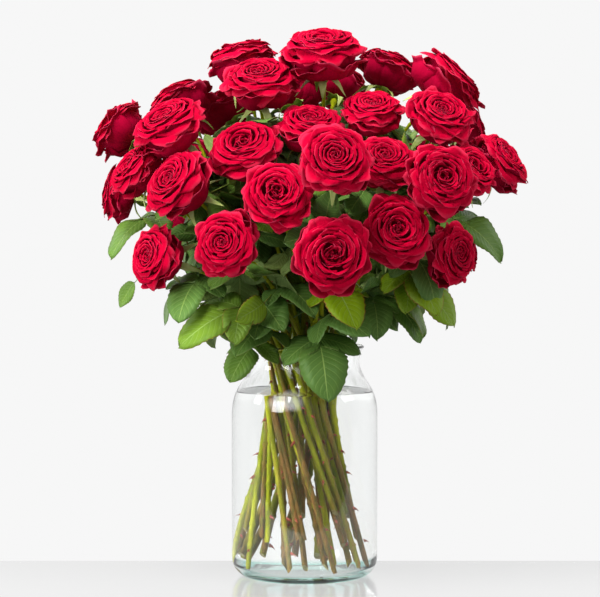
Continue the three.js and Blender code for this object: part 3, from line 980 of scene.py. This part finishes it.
def sepals(greens, plant):
    spin = 2 * pi * chance(plant.seed + 401)
    for n in range(SEPALS):
        c = chances(4, plant.seed * 13 + n * 4)
        length = (SEPAL_LENGTH[0] + SEPAL_LENGTH[1] * c[0]) * MM
        s = (np.arange(SEPAL_STEPS) + 0.5) / SEPAL_STEPS
        lean = 0.15 - (0.9 + 1.4 * c[1]) * s**0.8 + 1.1 * c[2] * np.clip(s - 0.6, 0, 1) ** 2 * 6
        marks = np.linspace(0, 1, SEPAL_STEPS + 1)
        line = []
        for start, way in ((4.4, np.cos), (-1.2, np.sin)):
            steps = np.concatenate([[0], np.cumsum(way(lean))]) * length / SEPAL_STEPS
            line.append(start * MM + np.interp(SEPAL.v, marks, steps))
        out, rise = line
        fringe = 1
        for place, width, height in BARBS:
            fringe = fringe + height * np.exp(-(((SEPAL.v - place) / width) ** 2))
        half = SEPAL_HALF * MM * (1 - SEPAL.v) ** 0.75 * fringe + 0.25 * MM
        y = half * SEPAL.u
        rise = rise + 0.35 * np.abs(y)
        flat = np.stack([out, y, rise], axis=1)
        turn = np.array(Matrix.Rotation(n * 2 * pi / SEPALS + 0.3 * (c[3] - 0.5), 3, "Z"))
        greens.add(SEPAL, stand(flat @ turn.T, plant.base, plant.axis, spin), c[3], 1)


# %% [markdown]
# ## The stems
#
# A stem is a tube along its route. A curve object draws it: each point of the curve has its own radius, so
# the stem swells a little at every node, thins out towards the bloom and ends in the round hip. The foot is
# cut off with a slanted plane, as a florist cuts it, and the cut shows pale pith.

# %% Stem, thorn and pith finishes
def stem_finish():
    finish = Finish("stem_skin", Roughness=0.42, Specular_IOR_Level=0.14)
    streaks = finish.noise(260.0, (1, 1, 0.12))
    patches = finish.noise(26.0, (1, 1, 0.5))
    tone = finish.attribute("tone")
    height = finish.place(2)
    green = finish.mix(patches.between(0.3, 0.7), (0.14, 0.18, 0.003), (0.4, 0.43, 0.008))
    brown = finish.mix(streaks.between(0.35, 0.65), (0.09, 0.075, 0.013), (0.175, 0.09, 0.022))
    old = (tone * 1.1 + streaks * 0.5 - height * 2.0 + 0.02).between(0.0, 0.9)
    skin = finish.mix(old, green, brown)
    specks = finish.noise(700.0).between(0.66, 0.72)
    finish.set("Base Color", finish.mix(specks * 0.5, skin, (0.42, 0.38, 0.12)))
    finish.bump(streaks + specks, 0.9, 0.9 * MM)
    return finish.material


FINE_GRAIN = (320.0, 0.35, 0.65, 0.3)
STEM_SKIN = stem_finish()
THORN_SKIN = plain_finish("thorn", (0.36, 0.055, 0.03), (0.22, 0.05, 0.02), 0.4, FINE_GRAIN)
PITH = plain_finish("cut_end", (0.33, 0.3, 0.13), (0.2, 0.14, 0.05), 0.6, FINE_GRAIN)

# %% One stem
# The points of a node: steps from its middle, and the swelling there. A plain step has only one
NODE_SHAPE = [(-0.22, 0.95), (-0.08, 1.08), (0, 1.24), (0.06, 1.1), (0.16, 0.94)]
PLAIN_SHAPE = [(0, 0.97)]
NODE_SHARE = (0.55, 0.28)
STEM_THINNING = [1, 0.96, 0.64]
# The hip: millimetres along the bloom's axis from its base, and the radius there
HIP_SHAPE = [(-9, 2.9), (-7, 4.3), (-4.5, 6.0), (-2.2, 6.2), (-0.6, 5.4), (0, 3.0)]
CUT_TILT = 38
CUT_HEIGHT = 4.2
CUT_REACH = 6


def stem(plant):
    points, radii = [], []
    steps = LOW_STEPS + HIGH_STEPS
    for k in range(steps):
        node = k not in (0, LOW_STEPS) and chance(plant.seed * 5 + k) < NODE_SHARE[k > LOW_STEPS]
        thin = np.interp(k, [0, LOW_STEPS, steps], STEM_THINNING)
        for shift, swell in NODE_SHAPE if node else PLAIN_SHAPE:
            points.append(plant.along(k + shift))
            radii.append(STEM_RADIUS * MM * thin * swell)
    for height, radius in HIP_SHAPE:
        points.append(plant.base + plant.axis * height * MM)
        radii.append(radius * MM)
    choose()
    bpy.ops.curve.primitive_nurbs_path_add(location=(0, 0, 0))
    tube = bpy.context.active_object
    tube.data.splines.clear()
    spline = tube.data.splines.new("POLY")
    spline.points.add(len(points) - 1)
    for mark, point, radius in zip(spline.points, points, radii):
        mark.co = (*point, 1)
        mark.radius = radius
    tube.data.bevel_depth = 1.0
    tube.data.bevel_resolution = 3
    tube.data.use_fill_caps = True
    bpy.ops.object.convert(target="MESH")
    tube = bpy.context.active_object
    tube.data.materials.append(STEM_SKIN)
    tube.data.materials.append(PITH)
    edit(tube)
    bpy.ops.mesh.remove_doubles(threshold=0.00001)
    slant = direction(360 * chance(plant.seed + 601), CUT_TILT)
    centre = plant.foot + plant.rise * CUT_HEIGHT * MM
    bpy.ops.mesh.bisect(plane_co=centre, plane_no=-slant, use_fill=True, clear_outer=True)
    bpy.ops.mesh.select_all(action="SELECT")
    bpy.ops.mesh.normals_make_consistent(inside=False)
    bpy.ops.object.mode_set(mode="OBJECT")
    bpy.ops.object.shade_smooth_by_angle(angle=radians(40))
    for face in tube.data.polygons:
        if face.normal.dot(-slant) > 0.98 and (face.center - centre).length < CUT_REACH * MM:
            face.material_index = 1
    tones = np.full(len(tube.data.vertices), chance(plant.seed + 501), np.float32)
    tube.data.attributes.new("tone", "FLOAT", "POINT").data.foreach_set("value", tones)
    return tube


# %% [markdown]
# A thorn is a flat cone whose tip hooks downwards. One is modelled, and its copies are set round the stems.

# %% The thorns of one stem
THORNS = 9


def thorn_mesh():
    choose()
    bpy.ops.mesh.primitive_cone_add(vertices=8, radius1=1.9 * MM, depth=4.4 * MM, location=(0, 0, 2.2 * MM))
    thorn = bpy.context.active_object
    bpy.ops.object.transform_apply()
    edit(thorn)
    bpy.ops.mesh.subdivide()
    bpy.ops.object.mode_set(mode="OBJECT")
    for v in thorn.data.vertices:
        v.co.x *= 0.55
        v.co.y = v.co.y * 1.25 - 260 * v.co.z**2
    thorn.data.materials.append(THORN_SKIN)
    return thorn


THORN = thorn_mesh()


def thorns(plant):
    """Copies of the thorn up one stem, each turned to stand out from it with its hook down."""
    copies = []
    for n in range(THORNS):
        c = chances(3, plant.seed * 19 + n * 3, 0.3)
        share = (n + c[0]) / THORNS
        if share < 0.5:
            point = plant.foot.lerp(plant.waist, 0.06 + share * 1.8)
            along = plant.rise
        else:
            t = (share - 0.5) * 1.7
            point = plant.on_route(t)
            along = (plant.on_route(t + 0.02) - point).normalized()
        out = along.orthogonal()
        out.rotate(Matrix.Rotation(2 * pi * c[1], 3, along))
        turn = Matrix((along.cross(out), along, out)).transposed().to_4x4()
        seat = Matrix.Translation(point + out * STEM_RADIUS * 0.85 * MM)
        mesh = THORN.data.copy()
        mesh.transform(seat @ turn @ Matrix.Scale(0.55 + 0.6 * c[2], 4))
        copies.append(new_object("thorn", mesh))
    return copies


# %% Each bunch: its stems, hips, sepals, thorns and leaves as one piece
LEAF_THICKNESS = 0.4 * MM


def bunch(number):
    members = [plant for plant in plants if plant.bunch == number]
    greens = Gathering()
    for plant in members:
        sepals(greens, plant)
    for n, (plant, *row) in enumerate(ALL_LEAVES):
        if plant.bunch == number:
            leaf(greens, *row, n)
    materials = [LEAF_BACK, LEAF_FACE, SEPAL_BACK, SEPAL_FACE]
    parts = [greens.build(f"foliage_{number:02d}", materials, LEAF_THICKNESS)]
    for plant in members:
        parts.append(stem(plant))
        parts += thorns(plant)
    piece = join(f"bunch_{number:02d}_greens", parts)
    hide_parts(f"stems_{number:02d}")
    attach(piece, "root")
    return piece


bunches = [bunch(number) for number in range(1, BUNCHES + 1)]
bpy.data.objects.remove(THORN)
print("bunches:", len(bunches), "faces:", sum(len(b.data.polygons) for b in bunches))

# %% [markdown]
# ## The vase and the water
#
# Both are round, so each is an outline spun about the upright axis. The vase's outline goes up its outside,
# over the rounded rim and down its inside. The water reaches half a millimetre into the glass: light then
# bends once at glass and water together, as it does where they touch.

# %% Outlines of the glass, up its outside and down its inside: radius and height in millimetres
OUTSIDE = [
    (0, 0.0), (60, 0.0), (76, 0.3), (80, 1.2), (84, 3.2), (88, 6.6), (91.5, 11), (94, 17), (95, 26),
    (95, 110), (95, 208), (94.6, 218), (93.2, 228), (90.6, 237), (86.8, 245), (82.4, 252), (78.2, 258.5),
    (74.8, 265), (72.5, 271.5), (71.5, 278), (71.8, 284), (73.0, 289.5), (75.0, 294), (76.8, 296.6),
    (77.5, 298.4), (77.0, 299.6), (75.8, 300),
]
INSIDE = [
    (74.2, 299.6), (73.2, 298.2), (71.6, 294.5), (69.6, 290), (68.3, 285), (67.9, 279), (68.8, 272.6),
    (71.0, 266.4), (74.4, 260), (78.7, 253.6), (83.0, 246.8), (86.8, 239), (89.4, 229), (90.9, 219),
    (91.4, 208), (91.4, 110), (91.4, 30), (90.4, 21), (87.4, 14.6), (83, 11), (77, 9.4), (60, 9.0), (0, 9.0),
]
WATER_LEVEL = 240
WATER_RADIUS = 86.9
FLOOR_TOP = 10
INTO_GLASS = 0.5
# The water's raised edge: how far in from WATER_RADIUS, and how high above WATER_LEVEL
RAISED_EDGE = [(0, 0.9), (0.7, 0.4), (2.0, 0.05), (4, 0)]
SPIN_STEPS = 96


def spun(name, outline):
    """A closed round piece: the outline is a chain of edges, spun, and its ends on the axis are merged."""
    mesh = bpy.data.meshes.new(name)
    chain = [(k, k + 1) for k in range(len(outline) - 1)]
    mesh.from_pydata([(r * MM, 0, z * MM) for r, z in outline], chain, [])
    obj = new_object(name, mesh)
    edit(obj)
    bpy.ops.mesh.spin(steps=SPIN_STEPS, angle=2 * pi, center=(0, 0, 0), axis=(0, 0, 1))
    bpy.ops.mesh.select_all(action="SELECT")
    bpy.ops.mesh.remove_doubles(threshold=0.00002)
    bpy.ops.mesh.normals_make_consistent(inside=False)
    bpy.ops.object.mode_set(mode="OBJECT")
    bpy.ops.object.shade_smooth()
    return obj


vase = spun("vase_glass", OUTSIDE + INSIDE)
wetted = []
for r, z in reversed(INSIDE):
    if z < WATER_LEVEL:
        wetted.append((r + INTO_GLASS if r > 0 else 0, z - INTO_GLASS if z < FLOOR_TOP else z))
surface = [(WATER_RADIUS - inwards, WATER_LEVEL + height) for inwards, height in RAISED_EDGE]
water = spun("water_body", wetted + surface + [(0, WATER_LEVEL)])
print("faces of the vase and the water:", len(vase.data.polygons), len(water.data.polygons))

# %% [markdown]
# Clear glass and water are Principled shaders with full transmission. Lamp light can't find its way through
# such a surface, so shadow rays are let straight through by a second, transparent shader that only they
# meet.

# %% Glass and water finishes
def clear_finish(name, ior, heights, low_tint, tint, shade):
    """A clear finish whose colour goes from low_tint to tint between two heights in metres."""
    finish = Finish(name, Roughness=0.0, IOR=ior, Transmission_Weight=1.0)
    height = finish.place(2)
    finish.set("Base Color", finish.mix(height.between(*heights), low_tint, tint))
    shadow = finish.node("LightPath", output="Is Shadow Ray")
    clear = finish.node("BsdfTransparent", inputs={"Color": (shade, shade, shade, 1)})
    solid = Value(finish, finish.shader.outputs[0])
    mixed = finish.node("MixShader", inputs={0: shadow, 1: solid, 2: clear})
    finish.feed(finish.tree.nodes["Material Output"].inputs["Surface"], mixed)
    return finish.material


GLASS_TINTS = ((0.24, 0.76, 0.65), (0.99, 0.996, 0.994))
WATER_TINTS = ((0.985, 0.995, 0.99), (0.995, 1.0, 0.995))
vase.data.materials.append(clear_finish("clear_glass", 1.5, (0.001, 0.016), *GLASS_TINTS, shade=0.95))
water.data.materials.append(clear_finish("still_water", 1.333, (0.0, 0.24), *WATER_TINTS, shade=0.98))
for piece, slot, node in ((vase, "glass", "vase"), (water, "water", "water")):
    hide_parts(node)
    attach(piece, "root")

# %% [markdown]
# ## Table, backdrop and light
#
# The vase stands on a glossy white table top that ends just behind it, before a bright, even backdrop. The
# top's white is a painted glow that evens out the shadows on it. The world is that backdrop. It sends more
# light from behind the flowers than from the front. The glass mirrors a dark room in front, with one soft
# window in it, so the stems in the water keep their contrast. The Light Path node tells these apart by what
# a ray has met on its way.

# %% Table top
TABLE_BACK = 0.111
TABLE_FRONT = -0.42
TABLE_LENGTH = 6
TABLE_TOP = -0.0005
TABLE_UNDERSIDE = -0.03
choose()
bpy.ops.mesh.primitive_cube_add(size=1)
table = bpy.context.active_object
table.name = "table_top"
for v in table.data.vertices:
    v.co.x *= TABLE_LENGTH
    v.co.y = TABLE_BACK if v.co.y > 0 else TABLE_FRONT
    v.co.z = TABLE_TOP if v.co.z > 0 else TABLE_UNDERSIDE
# The dark lacquer glows: a painted light that gives the top its white and evens out the shadows on it
lacquer = Finish("white_top_painted_glow", Roughness=0.14, Specular_IOR_Level=0.25, Base_Color=(0.08, 0.08, 0.08))
# The glow fades a little towards the back, a painted falloff of light
painted_glow_falloff = lacquer.place(1).between(-0.2, 0.2)
lacquer.set("Emission Color", lacquer.mix(painted_glow_falloff, (1.0, 1.0, 1.0), (0.82, 0.82, 0.82)))
lacquer.set("Emission Strength", 0.45)
table.data.materials.append(lacquer.material)

# %% World
SEEN = 0.93
SEEN_THROUGH = 1.02
MIRRORED_FRONT = 0.16
WINDOW_RADIANCE = 4.5
WINDOW_WAY = (-0.52, -0.76, 0.38)
WINDOW_EDGE = (0.82, 0.995)
WINDOW_FOOT = (0.12, 0.26)
BEHIND = (-0.35, 0.45)
SENT_BACK = 0.54
SENT_FRONT = 0.34

world = bpy.data.worlds.new("backdrop")
bpy.context.scene.world = world
world.use_nodes = True
sky = Net(world.node_tree)
towards = sky.node("TexCoord", output="Generated")
behind = sky.part(towards, 1).between(*BEHIND)
facing = sky.node("VectorMath", {"operation": "DOT_PRODUCT"}, {0: towards, 1: WINDOW_WAY}, "Value")
window = sky.blend(sky.part(towards, 2).between(*WINDOW_FOOT), 0.0, facing.between(*WINDOW_EDGE))
mirrored = sky.blend(window, sky.blend(behind, MIRRORED_FRONT, SEEN), WINDOW_RADIANCE)
sent = sky.blend(behind, SENT_FRONT, SENT_BACK)
strength = SEEN
for passed, light in (("Transmission", SEEN_THROUGH), ("Glossy", mirrored), ("Diffuse", sent)):
    strength = sky.blend(sky.node("LightPath", output=passed + " Depth"), strength, light)
background = world.node_tree.nodes["Background"]
sky.feed(background.inputs["Strength"], strength)
sky.feed(background.inputs["Color"], (1, 1, 1, 1))
bpy.context.scene.view_settings.view_transform = "Standard"

# %% Lamps: name, place, side of its square, both in metres, and watts
LAMPS = [
    ("key", (-0.5, -1.0, 2.6), 0.9, 84),
    ("window", (-1.7, -1.8, 0.9), 0.9, 32),
    ("left", (-2.2, -0.2, 0.9), 0.6, 29),
    ("right", (2.2, -0.4, 1.4), 1.0, 18),
    ("top", (0.2, 0.5, 2.4), 1.4, 24),
]
LAMPS_AIM = Vector((0, 0, 0.45))
for name, place, size, watts in LAMPS:
    data = bpy.data.lights.new(name, "AREA")
    data.size = size
    data.energy = watts
    lamp = new_object(name, data)
    lamp.location = place
    lamp.rotation_euler = (LAMPS_AIM - Vector(place)).to_track_quat("-Z", "Y").to_euler()
    lamp.visible_glossy = False
print("lamps:", len(LAMPS))
